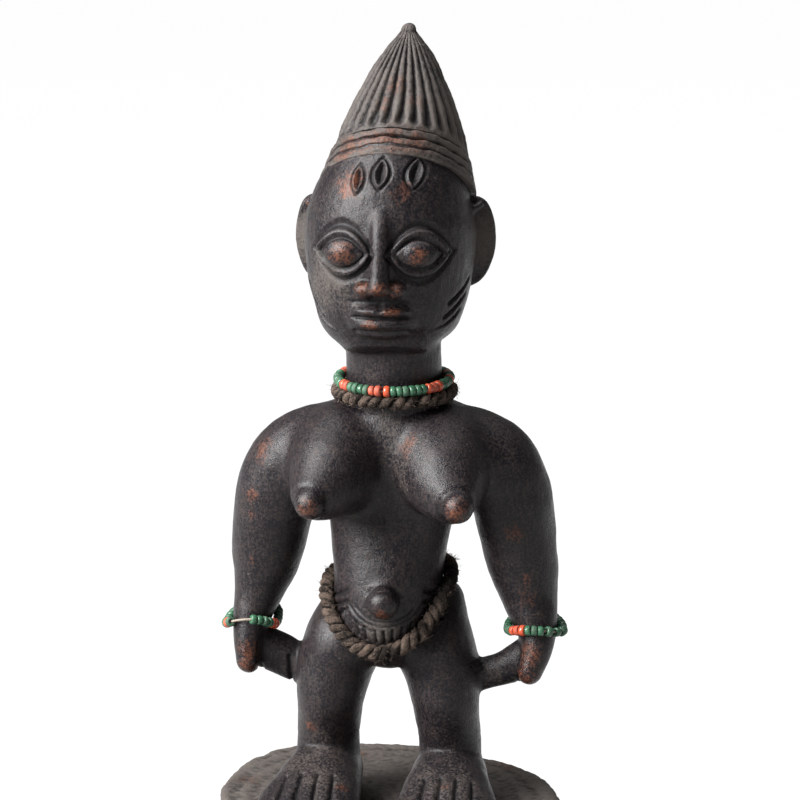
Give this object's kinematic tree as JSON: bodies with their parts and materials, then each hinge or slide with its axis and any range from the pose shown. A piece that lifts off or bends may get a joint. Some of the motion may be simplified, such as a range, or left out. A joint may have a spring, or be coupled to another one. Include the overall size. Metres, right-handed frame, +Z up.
{
  "type": "carved twin figure",
  "caption": "Standing carved wooden woman on a round base, with tall ridged hair, a cord and beads at the neck, a cord round the hips and a string of beads on each wrist.",
  "frame": {"origin": "middle of the base's underside", "axes": "+Z up, the figure faces -Y, her left hand is at +X"},
  "size_m": [0.1174, 0.1165, 0.2816],
  "materials": {
    "carved_wood": "dark, worn and handled to a satin sheen",
    "plant_fibre": "rough twisted fibre",
    "bead_glass": "opaque glass, softly worn"
  },
  "bodies": {
    "root": {"figure": "carved_wood", "neck_cord": "plant_fibre", "waist_cord": "plant_fibre", "neck_bead_string": "bead_glass", "right_wrist_beads": "bead_glass", "left_wrist_beads": "bead_glass"}
  },
  "joints": []
}
